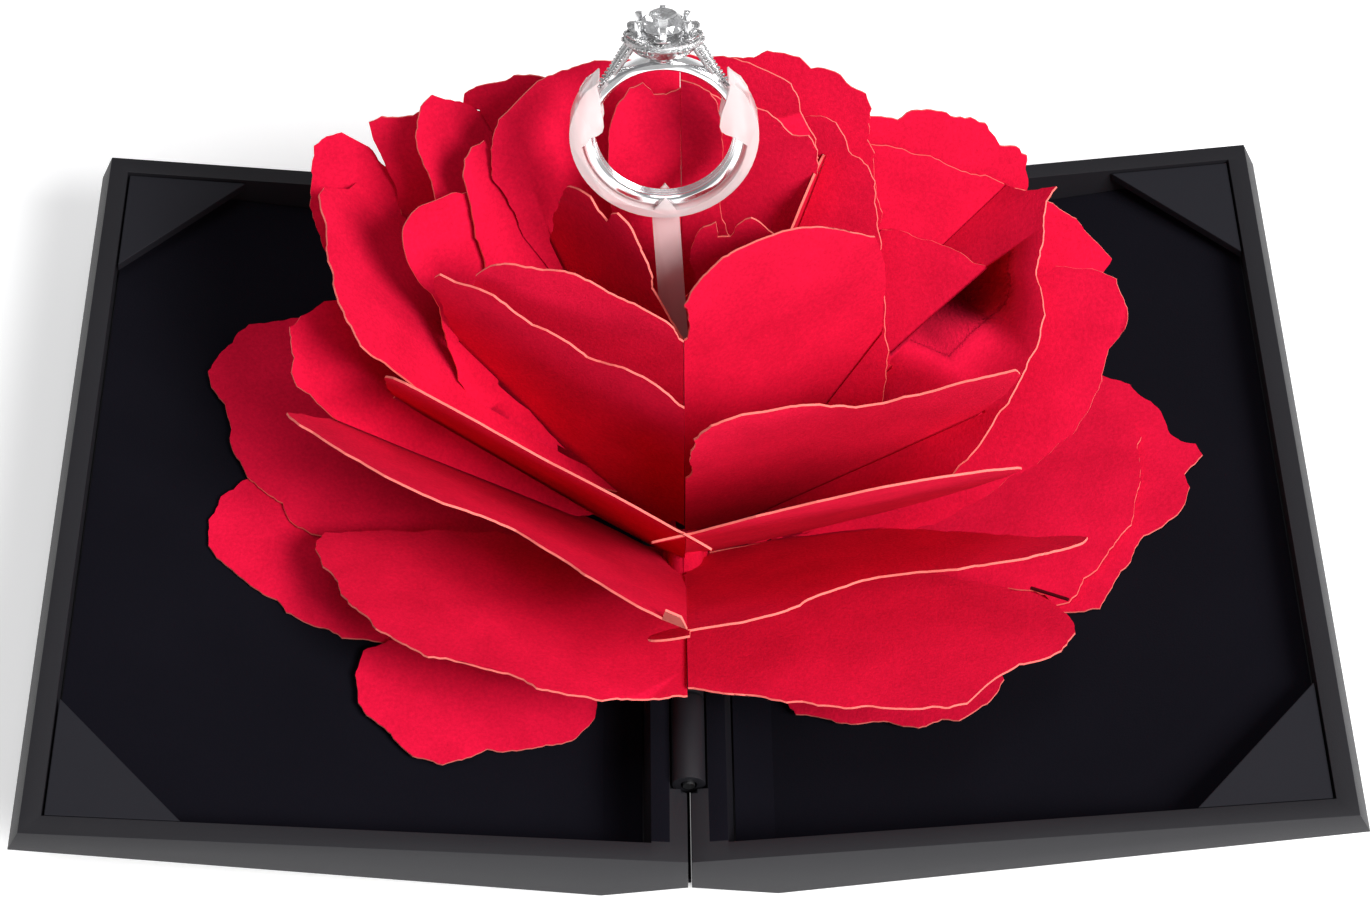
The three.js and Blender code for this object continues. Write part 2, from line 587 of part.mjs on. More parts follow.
    edge: [[100, 42], [75, 52], [58, 56], [54, 58], [52, 66], [48, 67], [45, 64], [42, 61], [40, 57], [30, 40],
      [8, 14]] },
  { name: 'right_outer_back_petal', foot: [5, 4], layer: 5, swing: 81, lift: 65, lean: -1, torn: 0.8,
    edge: [[90, 46], [60, 54], [40, 58], [32, 61], [29, 62], [25, 62], [21, 63], [19, 61], [14, 44], [7, 14]] },
  { name: 'right_outer_side_petal', foot: [5, -5], layer: 2, swing: 109, lift: 43, lean: -1, torn: 0.7,
    edge: [[95, 42], [70, 50], [55, 54], [49, 57], [49, 60], [48, 62], [44, 66], [39, 65], [36, 60], [31, 56],
      [27, 50], [24, 44], [16, 30], [6, 14]] },
  { name: 'left_outer_side_petal', foot: [1, -6], layer: 2, swing: 137, lift: 26, lean: -1, torn: 0.6,
    edge: [[110, 40], [90, 52], [73, 58], [71, 60], [68, 61], [65, 62], [62, 60], [59, 59], [58, 56], [50, 40],
      [12, 16]] },
  { name: 'left_wide_back_petal', foot: [0, 1], layer: 3, swing: 5, lift: 36, lean: 1, torn: 0.8,
    edge: [[100, 40], [90, 46], [88, 51], [86, 57], [77, 63], [72, 65], [66, 68], [63, 65], [57, 64], [53, 62],
      [40, 45], [8, 16]] },
  { name: 'left_centre_back_petal', foot: [1, 2], layer: 3, swing: 101, lift: 62, lean: -1, torn: 0.6,
    edge: [[125, 60], [110, 63], [98, 65], [90, 65], [86, 66], [81, 67], [76, 67], [72, 66], [67, 63], [65, 60],
      [64, 57], [64, 51], [63, 46], [52, 36], [10, 14]] },
  { name: 'right_centre_back_petal', foot: [1, 6], layer: 2, swing: 101, lift: 60, lean: -1, torn: 0.4,
    edge: [[112, 64], [100, 65], [90.1, 64.9], [88, 65], [86.4, 64.2], [85, 65.2], [83.7, 65.5], [82.6, 63.6],
      [81.9, 60], [80, 50], [62, 34], [10, 13]] },
  { name: 'right_wide_back_petal', foot: [-1, 1], layer: 3, swing: 165, lift: 32, lean: -1, torn: 0.8,
    edge: [[115, 58], [105, 62], [97, 67], [95, 70], [94, 68], [89, 64], [86, 62], [81, 62], [78, 60], [74, 57],
      [60, 45], [10, 14]] },
];

const rose = new THREE.Group();
rose.name = 'rose_frame';
rose.position.z = hingeHeight;
root.add(rose);

// Height of a closed layer below the rim plane: the first layer lies deepest in the leaf.
const layerHeight = (layer) => -4 + layerPitch * layer;

function petalFrame(petal) {
  const hand = petal.name.startsWith('left') ? -1 : 1;
  const across = new THREE.Vector3(hand * cosTilt, 0, sinTilt);
  const back = new THREE.Vector3(0, 1, 0);
  const up = new THREE.Vector3(-hand * sinTilt, 0, cosTilt);
  const sine = Math.sin(petal.swing * degree);
  const cosine = Math.cos(petal.swing * degree);
  const fold = across.clone().multiplyScalar(sine).addScaledVector(back, cosine);
  const flat = across.clone().multiplyScalar(cosine).addScaledVector(back, -sine).multiplyScalar(petal.lean);
  const rise = flat.clone().multiplyScalar(Math.cos(petal.lift * degree));
  rise.addScaledVector(up, Math.sin(petal.lift * degree));
  const foot = across.clone().multiplyScalar(petal.foot[0]).addScaledVector(back, petal.foot[1]);
  foot.addScaledVector(up, layerHeight(petal.layer));
  const normal = fold.clone().cross(rise);
  return { hand, fold, flat, rise, up, foot, normal };
}

// Room kept free of card: the fold's middle plane, the hinge barrel, the stem and the leaf's strips.
const stemRoomSolid = (() => {
  const post = upright(stemRoom, -4, postEnd + 2, 20);
  const top = ringDistance - ringOuterRadius;
  const reach = stemRoom + 0.2;
  const strip = alongDepth([[-reach, postEnd], [reach, postEnd], [ringShift + reach, top], [ringShift - reach, top]],
    -stemThickness, stemThickness);
  const bodies = [post, strip].map((geometry) => {
    geometry.rotateX(-stemLean * degree);
    geometry.translate(0, stemY, 0);
    return solid(geometry);
  });
  return bodies[0].add(bodies[1]);
})();
const holderRoomSolid = (() => {
  const reach = ringOuterRadius + ringClearance + holderWall + 0.5;
  const geometry = new THREE.CylinderGeometry(reach, reach, 2 * holderHalfWidth + 1, 40);
  geometry.translate(ringShift, 0, ringDistance);
  geometry.rotateX(-stemLean * degree);
  geometry.translate(0, stemY, 0);
  return solid(geometry);
})();
const barrelRoomSolid = solid(rodAlongDepth(barrelRadius + barrelClearance, -60, 60, 32));
function sideRoom(hand) {
  const far = -hand * 200;
  const near = hand * (foldGap / 2 + 0.05);
  return solid(alongDepth([[far, -100], [near, -100], [near, 200], [far, 200]], -150, 150));
}
function stripRoom(hand) {
  const strip = alongDepth([[-9, -12], [wellWall + cardGap, -12], [wellWall + cardGap, -1.2], [-9, -1.2]], -60, 60);
  strip.rotateY(-openTilt * degree);
  const body = solid(strip);
  return hand > 0 ? body : body.mirror([1, 0, 0]);
}

function petalBlank(frame, petal, thickness, phase) {
  const edge = petal.edge.map(([angle, distance]) => [
    distance * Math.cos(angle * degree),
    distance * Math.sin(angle * degree),
  ]);
  const loop = raggedLoop(edge, [0, 0], phase, raggedness * petal.torn);
  const geometry = slab(loop, -thickness / 2, thickness / 2);
  const place = new THREE.Matrix4().makeBasis(frame.fold, frame.rise, frame.normal);
  place.setPosition(frame.foot);
  geometry.applyMatrix4(place);
  return solid(geometry);
}

function largestPart(body) {
  const parts = body.decompose();
  return parts.reduce((best, part) => (part.volume() > best.volume() ? part : best), parts[0]);
}

const placed = [];
petals.forEach((petal, i) => {
  const frame = petalFrame(petal);
  let body = petalBlank(frame, petal, cardThickness, 0.9 * i);
  body = body.subtract(sideRoom(frame.hand)).subtract(barrelRoomSolid).subtract(stemRoomSolid);
  body = body.subtract(holderRoomSolid).subtract(stripRoom(frame.hand));
  for (const other of placed) {
    if (other.frame.hand === frame.hand && !body.intersect(other.wide).isEmpty()) {
      body = body.subtract(other.wide);
    }
  }
  body = largestPart(body);
  const wide = petalBlank(frame, petal, cardThickness + 2 * cardGap, 0.9 * i);
  placed.push({ petal, frame, body, wide });
  const material = petal.lean > 0 ? materials.card : materials.cardDeep;
  const node = addNode(rose, petal.name, body, material);
  node.userData = {
    foot: frame.foot.toArray(),
    fold: frame.fold.toArray(),
    flat: frame.flat.toArray(),
    up: frame.up.toArray(),
    lift: petal.lift,
  };
});

export default root;
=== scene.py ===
import json
import math

import bmesh
import bpy
from mathutils import Matrix, Vector, noise


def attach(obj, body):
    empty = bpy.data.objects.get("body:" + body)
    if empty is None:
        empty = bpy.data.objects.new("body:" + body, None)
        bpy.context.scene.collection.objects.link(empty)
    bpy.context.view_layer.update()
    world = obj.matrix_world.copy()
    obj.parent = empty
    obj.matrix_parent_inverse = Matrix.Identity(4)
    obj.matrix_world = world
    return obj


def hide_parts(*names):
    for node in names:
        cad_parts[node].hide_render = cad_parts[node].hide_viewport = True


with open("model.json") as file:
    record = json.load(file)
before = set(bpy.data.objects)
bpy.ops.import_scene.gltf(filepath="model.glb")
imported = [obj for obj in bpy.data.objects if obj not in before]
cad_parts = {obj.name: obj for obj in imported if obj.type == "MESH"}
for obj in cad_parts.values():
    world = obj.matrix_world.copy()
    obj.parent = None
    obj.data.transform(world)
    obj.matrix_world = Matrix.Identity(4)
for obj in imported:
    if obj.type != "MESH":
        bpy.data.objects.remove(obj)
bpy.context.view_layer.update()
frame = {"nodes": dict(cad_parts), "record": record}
nodes = frame["nodes"]
record = frame["record"]
joints = {joint["name"]: joint for joint in record["behaviour"]["joints"]}
bodyOf = {node: body for body, members in record["behaviour"]["bodies"].items() for node in members}
hingePoint = Vector(joints["box_hinge"]["pos_m"])
print("frame loaded:", len(nodes), "nodes")


# short helpers round the edit operators
def deselectAll():
    if bpy.context.object and bpy.context.object.mode != "OBJECT":
        bpy.ops.object.mode_set(mode="OBJECT")
    for thing in bpy.context.selected_objects:
        thing.select_set(False)


def makeActive(piece):
    deselectAll()
    piece.select_set(True)
    bpy.context.view_layer.objects.active = piece


def editAll(piece):
    makeActive(piece)
    bpy.ops.object.mode_set(mode="EDIT")
    bpy.ops.mesh.select_all(action="SELECT")


def objectMode():
    bpy.ops.object.mode_set(mode="OBJECT")


def applyAll(piece):
    makeActive(piece)
    for modifier in list(piece.modifiers):
        bpy.ops.object.modifier_apply(modifier=modifier.name)


def smoothByAngle(piece, angle):
    makeActive(piece)
    bpy.ops.object.shade_smooth_by_angle(angle=math.radians(angle))


mergeLook = {"distance": 2e-6, "flatAngle": 0.8}


def cadCopy(node, name):
    # a merged copy of a frame node, with its flat faces joined up again
    piece = nodes[node].copy()
    piece.data = nodes[node].data.copy()
    piece.name = name
    piece.parent = None
    piece.matrix_world = Matrix.Identity(4)
    bpy.context.scene.collection.objects.link(piece)
    piece.data.materials.clear()
    editAll(piece)
    bpy.ops.mesh.remove_doubles(threshold=mergeLook["distance"])
    bpy.ops.mesh.dissolve_limited(angle_limit=math.radians(mergeLook["flatAngle"]))
    objectMode()
    return piece


def bevelPiece(piece, look):
    modifier = piece.modifiers.new("softEdge", "BEVEL")
    modifier.width = look["edge"]
    modifier.segments = look["segments"]
    modifier.limit_method = "ANGLE"
    modifier.angle_limit = math.radians(look["angle"])
    modifier.use_clamp_overlap = True
    applyAll(piece)


def settle(piece, body, material=None):
    # last steps for every piece: finish, body, slot
    if material is not None:
        piece.data.materials.clear()
        piece.data.materials.append(material)
    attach(piece, body)
    return piece


def newPiece(name, matrix):
    # the primitive just added, with its place moved into its mesh
    piece = bpy.context.object
    piece.name = name
    makeActive(piece)
    piece.matrix_world = matrix @ piece.matrix_world
    bpy.ops.object.transform_apply(location=True, rotation=True, scale=True)
    return piece


def copyPiece(piece, name, matrix):
    twin = piece.copy()
    twin.data = piece.data.copy()
    twin.name = name
    bpy.context.scene.collection.objects.link(twin)
    makeActive(twin)
    twin.matrix_world = matrix
    bpy.ops.object.transform_apply(location=True, rotation=True, scale=True)
    return twin


def joinPieces(pieces, name):
    makeActive(pieces[0])
    for piece in pieces:
        piece.select_set(True)
    bpy.ops.object.join()
    pieces[0].name = name
    return pieces[0]


def newGroup(name, inputs, outputs):
    group = bpy.data.node_groups.new(name, "ShaderNodeTree")
    for label, kind, value in inputs:
        socket = group.interface.new_socket(label, in_out="INPUT", socket_type=kind)
        if value is not None:
            socket.default_value = value
    for label, kind in outputs:
        group.interface.new_socket(label, in_out="OUTPUT", socket_type=kind)
    return group, group.nodes.new("NodeGroupInput"), group.nodes.new("NodeGroupOutput")


def buildGrainGroup():
    # fine grain: a colour between two tones, and a height for the bump
    group, fed, out = newGroup(
        "fineGrain",
        [("Tone A", "NodeSocketColor", None), ("Tone B", "NodeSocketColor", None),
         ("Grain Scale", "NodeSocketFloat", 900.0), ("Cloud Scale", "NodeSocketFloat", 40.0),
         ("Cloud Share", "NodeSocketFloat", 0.5)],
        [("Colour", "NodeSocketColor"), ("Height", "NodeSocketFloat")],
    )
    link = group.links.new
    place = group.nodes.new("ShaderNodeTexCoord")
    grain = group.nodes.new("ShaderNodeTexNoise")
    grain.inputs["Detail"].default_value = 4
    grain.inputs["Roughness"].default_value = 0.65
    cloud = group.nodes.new("ShaderNodeTexNoise")
    cloud.inputs["Detail"].default_value = 3
    blend = group.nodes.new("ShaderNodeMix")
    blend.data_type = "FLOAT"
    tint = group.nodes.new("ShaderNodeMix")
    tint.data_type = "RGBA"
    link(place.outputs["Object"], grain.inputs["Vector"])
    link(place.outputs["Object"], cloud.inputs["Vector"])
    link(fed.outputs["Grain Scale"], grain.inputs["Scale"])
    link(fed.outputs["Cloud Scale"], cloud.inputs["Scale"])
    link(fed.outputs["Cloud Share"], blend.inputs["Factor"])
    link(grain.outputs["Fac"], blend.inputs["A"])
    link(cloud.outputs["Fac"], blend.inputs["B"])
    link(blend.outputs["Result"], tint.inputs["Factor"])
    link(fed.outputs["Tone A"], tint.inputs["A"])
    link(fed.outputs["Tone B"], tint.inputs["B"])
    link(tint.outputs["Result"], out.inputs["Colour"])
    link(grain.outputs["Fac"], out.inputs["Height"])
    return group


grainGroup = buildGrainGroup()


def grainMaterial(name, toneA, toneB, roughness, bump, grainScale, cloudScale=40.0, cloudShare=0.5,
                  **extra):
    material = bpy.data.materials.new(name)
    material.use_nodes = True
    tree = material.node_tree
    shader = tree.nodes["Principled BSDF"]
    shader.inputs["Roughness"].default_value = roughness
    for label, value in extra.items():
        shader.inputs[label.replace("_", " ")].default_value = value
    grain = tree.nodes.new("ShaderNodeGroup")
    grain.node_tree = grainGroup
    grain.inputs["Tone A"].default_value = (*toneA, 1)
    grain.inputs["Tone B"].default_value = (*toneB, 1)
    grain.inputs["Grain Scale"].default_value = grainScale
    grain.inputs["Cloud Scale"].default_value = cloudScale
    grain.inputs["Cloud Share"].default_value = cloudShare
    relief = tree.nodes.new("ShaderNodeBump")
    relief.inputs["Strength"].default_value = bump
    relief.inputs["Distance"].default_value = 0.0001
    tree.links.new(grain.outputs["Colour"], shader.inputs["Base Color"])
    tree.links.new(grain.outputs["Height"], relief.inputs["Height"])
    tree.links.new(relief.outputs["Normal"], shader.inputs["Normal"])
    return material


finishes = {
    "softTouch": grainMaterial("softTouchBlack", (0.0075, 0.0072, 0.0095), (0.014, 0.0135, 0.017), 0.55, 0.25, 5200,
                               cloudScale=60, cloudShare=0.35, Specular_IOR_Level=0.3),
    "suede": grainMaterial("suedeLining", (0.0028, 0.0026, 0.0046), (0.0068, 0.0064, 0.0105), 1.0, 0.6, 3800,
                           cloudScale=55, cloudShare=0.5, Specular_IOR_Level=0.05, Sheen_Weight=0.015),
    "cornerSheet": grainMaterial("cornerSheet", (0.009, 0.009, 0.013), (0.013, 0.013, 0.018), 0.75, 0.15, 2600,
                                 Specular_IOR_Level=0.25),
    "magnetNickel": grainMaterial("magnetNickel", (0.42, 0.43, 0.45), (0.5, 0.5, 0.52), 0.3, 0.1, 3000, Metallic=1.0),
    "pinSteel": grainMaterial("pinSteel", (0.3, 0.31, 0.32), (0.38, 0.38, 0.39), 0.35, 0.1, 3000, Metallic=1.0),
    "carrierBlack": grainMaterial("carrierBlack", (0.008, 0.008, 0.009), (0.012, 0.012, 0.014), 0.5, 0.15, 4000,
                                  Specular_IOR_Level=0.3),
    "card": grainMaterial("redCard", (0.33, 0.001, 0.013), (1.0, 0.009, 0.064), 0.97, 0.7, 2100,
                          cloudScale=160, cloudShare=0.4, Specular_IOR_Level=0.08),
    "cutEdge": grainMaterial("paleCutEdge", (0.86, 0.11, 0.10), (0.95, 0.26, 0.22), 0.85, 0.4, 2600, cloudScale=300,
                             Specular_IOR_Level=0.1),
    # near-black red: painted shade inside the slots cut in the card
    "cutSlot": grainMaterial("cutSlot", (0.05, 0.0015, 0.004), (0.1, 0.004, 0.009), 0.95, 0.3, 2600,
                             Specular_IOR_Level=0.05),
    "whiteGold": grainMaterial("whiteGold", (0.93, 0.94, 0.95), (0.99, 0.99, 1.0), 0.17, 0.03, 2500, Metallic=1.0),
    # pavé faces: metal speckled from near black to white, painted glints of the small set stones
    "pave": grainMaterial("paveSetting", (0.03, 0.03, 0.035), (1.0, 1.0, 1.0), 0.16, 1.0, 5200,
                          cloudScale=3600, cloudShare=0.5, Metallic=1.0),
}


def clearMaterial(name, colour, ior, roughness, weight):
    material = bpy.data.materials.new(name)
    material.use_nodes = True
    tree = material.node_tree
    shader = tree.nodes["Principled BSDF"]
    shader.inputs["IOR"].default_value = ior
    shader.inputs["Transmission Weight"].default_value = weight
    shader.inputs["Roughness"].default_value = roughness
    grain = tree.nodes.new("ShaderNodeGroup")
    grain.node_tree = grainGroup
    grain.inputs["Tone A"].default_value = (*colour, 1)
    grain.inputs["Tone B"].default_value = (*[min(1, c * 1.03) for c in colour], 1)
    grain.inputs["Grain Scale"].default_value = 700
    tree.links.new(grain.outputs["Colour"], shader.inputs["Base Color"])
    return material


# clear plastic with a pink tint: painted reflection of the red card
finishes["clearPlastic"] = clearMaterial("clearPlastic", (1.0, 0.9, 0.9), 1.3, 0.2, 0.55)
finishes["sparkle"] = grainMaterial("sparkle", (0.02, 0.02, 0.025), (1, 1, 1), 0.08, 0.6, 4200,
                                    cloudScale=2500, cloudShare=0.6, Metallic=0.85)
finishes["gem"] = clearMaterial("gemStone", (0.97, 0.98, 1.0), 2.1, 0.0, 0.9)
print("finishes ready:", len(finishes))

# the two leaves of the box, and what is fixed in them
leafTilt = {"left": 7.2, "right": -7.2}
shellLook = {"edge": 0.00035, "segments": 3, "angle": 28, "smooth": 40}
carrierLook = {"edge": 0.00015, "segments": 2, "angle": 40, "smooth": 40}
sheetLook = {"edge": 0.00012, "segments": 2, "angle": 50}
spineLook = {"from": 0.0026, "to": 0.00512, "halfLength": 0.0532, "depth": 0.0065}


def lineSpineStrip(shell, side):
    # the lining runs on over the strip beside the hinge
    leafTurn = Matrix.Rotation(math.radians(leafTilt[side]), 4, "Y")
    hand = -1 if side == "left" else 1
    across = leafTurn.to_3x3() @ Vector((hand, 0, 0))
    upward = leafTurn.to_3x3() @ Vector((0, 0, 1))
    for distance in (spineLook["from"], spineLook["to"]):
        editAll(shell)
        bpy.ops.mesh.bisect(plane_co=hingePoint + across * distance, plane_no=across)
        objectMode()
    for end in (-1, 1):
        editAll(shell)
        bpy.ops.mesh.bisect(plane_co=(0, end * spineLook["halfLength"], 0), plane_no=(0, 1, 0))
        objectMode()
    shell.data.materials.append(finishes["suede"])
    for face in shell.data.polygons:
        spot = face.center - hingePoint
        reach = spot.dot(across)
        high = spot.dot(upward)
        if spineLook["from"] < reach < spineLook["to"] and abs(spot.y) < spineLook["halfLength"]:
            if high > -spineLook["depth"]:
                face.material_index = 1


for side in ("left", "right"):
    shell = cadCopy(f"{side}_shell", f"{side}Leaf")
    bevelPiece(shell, shellLook)
    smoothByAngle(shell, shellLook["smooth"])
    settle(shell, f"{side}_leaf", finishes["softTouch"])
    lineSpineStrip(shell, side)
    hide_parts(f"{side}_shell")
    nodes[f"{side}_liner"].data.materials.clear()
    nodes[f"{side}_liner"].data.materials.append(finishes["suede"])
    for end in ("near", "far"):
        sheet = cadCopy(f"{side}_gusset_{end}", f"{side}CornerSheet{end.capitalize()}")
        bevelPiece(sheet, sheetLook)
        settle(sheet, f"{side}_leaf", finishes["cornerSheet"])
        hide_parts(f"{side}_gusset_{end}")
        nodes[f"{side}_magnet_{end}"].data.materials.clear()
        nodes[f"{side}_magnet_{end}"].data.materials.append(finishes["magnetNickel"])
nodes["hinge_pin"].data.materials.clear()
nodes["hinge_pin"].data.materials.append(finishes["pinSteel"])
carrier = cadCopy("stem_carrier", "stemCarrier")
bevelPiece(carrier, carrierLook)
smoothByAngle(carrier, carrierLook["smooth"])
settle(carrier, "stem", finishes["carrierBlack"])
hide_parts("stem_carrier")
# a black sheet closes the slit between the two spine walls: painted shade inside the slit
slitShadeLook = {"wide": 0.0004, "tall": 0.0012, "long": 0.1112, "drop": 0.0062, "aside": -0.00003,
            "edge": 0.00008}
deselectAll()
bpy.ops.mesh.primitive_cube_add(size=1)
slitShadeBlock = bpy.context.object
slitShadeBlock.name = "spineTape"
editAll(slitShadeBlock)
bpy.ops.transform.resize(value=(slitShadeLook["wide"], slitShadeLook["long"], slitShadeLook["tall"]))
bpy.ops.mesh.bevel(offset=slitShadeLook["edge"], segments=2)
objectMode()
newPiece("spineTape", Matrix.Translation((slitShadeLook["aside"], 0, hingePoint.z - slitShadeLook["drop"])))
settle(slitShadeBlock, "left_leaf", finishes["suede"])
print("box ready")

# the rose
petalLook = {"creaseReach": 0.0004, "creaseGap": 0.00005, "cuts": 2, "longEdge": 0.0009, "tear": 0.00022,
             "tearScale": 900, "fineTear": 0.00012, "fineScale": 2300, "thick": 0.0003,
             "edgeTilt": 0.3, "faceTilt": 0.6, "frontShare": 0.2, "seed": 7}
# the step where the second pair of petals locks at the crease
notchLook = {"corner": Vector((0, 0, 0)), "reach": 0.0032, "lift": (-0.0002, 0.0008, 0.0013)}


def mainNormal(mesh):
    biggest = max(mesh.polygons, key=lambda face: face.area)
    return biggest.normal.copy(), biggest.center.copy()


def paintCard(piece, upward):
    # red faces and pale cut edges
    piece.data.materials.append(finishes["card"])
    piece.data.materials.append(finishes["cutEdge"])
    for face in piece.data.polygons:
        face.material_index = 0 if abs(face.normal.dot(upward)) > petalLook["faceTilt"] else 1


def frontOfCrease(mesh):
    # the front end of a petal's crease edge
    spots = [vert.co for vert in mesh.vertices if abs(vert.co.x) < petalLook["creaseReach"]]
    return min(spots, key=lambda spot: spot.z * petalLook["frontShare"] + spot.y).copy()


def makePetal(node):
    piece = cadCopy(node, node.title().replace("_", "") + "Card")
    upward, middle = mainNormal(piece.data)
    makeActive(piece)
    bpy.ops.object.mode_set(mode="EDIT")
    bpy.ops.mesh.select_all(action="DESELECT")
    mesh = bmesh.from_edit_mesh(piece.data)
    for edge in mesh.edges:
        run = edge.verts[1].co - edge.verts[0].co
        flat = abs(run.normalized().dot(upward)) < petalLook["edgeTilt"]
        if flat and run.length > petalLook["longEdge"]:
            edge.select = True
    bmesh.update_edit_mesh(piece.data)
    bpy.ops.mesh.subdivide(number_cuts=petalLook["cuts"])
    mesh = bmesh.from_edit_mesh(piece.data)
    for vert in mesh.verts:
        flatPlace = vert.co - upward * (vert.co - middle).dot(upward)
        shift = noise.noise_vector(flatPlace * petalLook["tearScale"]) * petalLook["tear"]
        shift += noise.noise_vector(flatPlace * petalLook["fineScale"]) * petalLook["fineTear"]
        shift -= upward * shift.dot(upward)
        if node == "left_second_petal" and (vert.co - notchLook["corner"]).length < notchLook["reach"]:
            shift += Vector(notchLook["lift"])
        if abs(vert.co.x) < petalLook["creaseReach"] and "low" not in node:
            vert.co.x = math.copysign(petalLook["creaseGap"], vert.co.x)
        else:
            vert.co += shift
    bmesh.update_edit_mesh(piece.data)
    bpy.ops.mesh.select_all(action="SELECT")
    bpy.ops.mesh.quads_convert_to_tris(ngon_method="BEAUTY")
    objectMode()
    paintCard(piece, upward)
    settle(piece, bodyOf[node])
    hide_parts(node)
    return piece


noise.seed_set(petalLook["seed"])  # the same torn edges in every run
notchLook["corner"] = frontOfCrease(nodes["left_second_petal"].data)
petalNodes = [node for node in nodes if "petal" in node]
cards = {node: makePetal(node) for node in petalNodes}


tongueLook = {"sides": 28, "run": (-0.15, -0.2)}
tongues = {
    "secondTongue": {"host": "right_second_petal", "length": 0.0055, "tall": 0.0042, "roundness": 0.8,
                     "rise": (0, 0.45, 1), "offset": (0, 0.001, 0.0012)},
    "thirdTongueRight": {"host": "right_third_petal", "length": 0.0048, "tall": 0.0022, "roundness": 1.4,
                         "rise": (0, 0.2, 1), "offset": (0, 0.0006, 0.0008)},
    "thirdTongueLeft": {"host": "left_third_petal", "length": 0.0042, "tall": 0.0022, "roundness": 1.4,
                        "rise": (0, 0.2, 1), "offset": (0, 0.0006, 0.0008)},
}


def addTongue(name, look):
    # a rounded tongue of the same card that reaches over the crease, in its petal's plane
    host = look["host"]
    roundness = look["roundness"]
    along = Vector((-1 if host.startswith("right") else 1, *tongueLook["run"])).normalized()
    upward, middle = mainNormal(cards[host].data)
    along -= upward * along.dot(upward)
    along.normalize()
    rise = Vector(look["rise"])
    high = rise - upward * rise.dot(upward)
    high = (high - along * high.dot(along)).normalized()
    start = frontOfCrease(cards[host].data) + Vector(look["offset"])
    origin = start - upward * (start - middle).dot(upward)
    deselectAll()
    bpy.ops.mesh.primitive_cylinder_add(vertices=tongueLook["sides"], radius=0.5, depth=petalLook["thick"])
    tongue = bpy.context.object
    tongue.name = name
    editAll(tongue)
    mesh = bmesh.from_edit_mesh(tongue.data)
    for vert in mesh.verts:
        # half a rounded outline, flat on the crease side
        reach = max(0.0, vert.co.x) ** roundness
        vert.co.x = reach * look["length"] / 0.5 ** roundness if vert.co.x > 0 else 0.0
        vert.co.y *= look["tall"]
    bmesh.update_edit_mesh(tongue.data)
    bpy.ops.mesh.remove_doubles(threshold=1e-6)
    bpy.ops.mesh.normals_make_consistent(inside=False)
    objectMode()
    place = Matrix((along, high, along.cross(high))).transposed().to_4x4()
    tongue.data.transform(Matrix.Translation(origin) @ place)
    paintCard(tongue, upward)
    settle(tongue, bodyOf[host])


for name, look in tongues.items():
    addTongue(name, look)
print("petals ready:", len(petalNodes))

# slots cut in the card, drawn as thin dark boxes with painted shade inside each slit: where each lies on its petal,
# and which way it runs, in millimetres
slotLook = {"wide": 0.00042, "proud": 0.00003, "ease": 0.00008}
slots = {
    "outerSlotRight": ("right_first_petal", (48.9, -19.9, 15.9), (4.7, -3.0, 1.6)),
}
for name, (host, spot, run) in slots.items():
    outward, middle = mainNormal(cards[host].data)
    centre = Vector(spot) / 1000
    centre -= outward * (centre - middle).dot(outward) + outward * petalLook["thick"] / 2
    along = Vector(run) / 1000
    along -= outward * along.dot(outward)
    size = along.length
    along.normalize()
    deselectAll()
    bpy.ops.mesh.primitive_cube_add(size=1)
    slit = bpy.context.object
    slit.name = name
    editAll(slit)
    bpy.ops.transform.resize(value=(size, slotLook["wide"], petalLook["thick"] + 2 * slotLook["proud"]))
    bpy.ops.mesh.bevel(offset=slotLook["ease"], segments=2)
    objectMode()
    place = Matrix((along, outward.cross(along), outward)).transposed().to_4x4()
    slit.data.transform(Matrix.Translation(centre) @ place)
    settle(slit, bodyOf[host], finishes["cutSlot"])
print("slots ready")

# card over the hinge, where the petals meet
saddleLook = {"near": -0.026, "far": 0.012, "inner": {"left": 0.00226, "right": 0.00238}, "wall": 0.00007,
              "outFrom": 0.00285, "outDrop": 0.0013, "wellFoot": 0.0046, "steps": 9,
              "arc": 88, "ease": 0.0001, "smooth": 40}


def makeSaddle(side):
    # half a sheet: over the barrel, across the strip and down into the well
    hand = -1 if side == "left" else 1
    leafTurn = Matrix.Rotation(math.radians(leafTilt[side]), 4, "Y")
    radius = saddleLook["inner"][side]
    path = []
    for step in range(saddleLook["steps"] + 1):
        angle = math.radians(saddleLook["arc"] - saddleLook["arc"] * step / saddleLook["steps"])
        path.append((radius * math.cos(angle), radius * math.sin(angle)))
    path += [(radius + saddleLook["ease"], -saddleLook["outDrop"]), (saddleLook["outFrom"], -saddleLook["outDrop"])]
    path += [(saddleLook["outFrom"] + saddleLook["ease"], -saddleLook["wellFoot"])]
    deselectAll()
    bpy.ops.mesh.primitive_plane_add(size=0.001)
    sheet = bpy.context.object
    sheet.name = side + "HingeCard"
    editAll(sheet)
    mesh = bmesh.from_edit_mesh(sheet.data)
    bmesh.ops.delete(mesh, geom=mesh.verts[:], context="VERTS")
    row = [mesh.verts.new((hand * across, saddleLook["near"], high)) for across, high in path]
    for first, second in zip(row, row[1:]):
        mesh.edges.new((first, second))
    bmesh.update_edit_mesh(sheet.data)
    bpy.ops.mesh.select_all(action="SELECT")
    depth = saddleLook["far"] - saddleLook["near"]
    bpy.ops.mesh.extrude_region_move(TRANSFORM_OT_translate={"value": (0, depth, 0)})
    bpy.ops.mesh.select_all(action="SELECT")
    bpy.ops.mesh.normals_make_consistent(inside=False)
    objectMode()
    sheet.data.transform(Matrix.Translation(hingePoint) @ leafTurn)
    wall = sheet.modifiers.new("cardWall", "SOLIDIFY")
    wall.thickness = saddleLook["wall"]
    wall.offset = 0
    applyAll(sheet)
    smoothByAngle(sheet, saddleLook["smooth"])
    settle(sheet, side + "_leaf", finishes["card"])


for side in ("left", "right"):
    makeSaddle(side)
print("hinge cards ready")

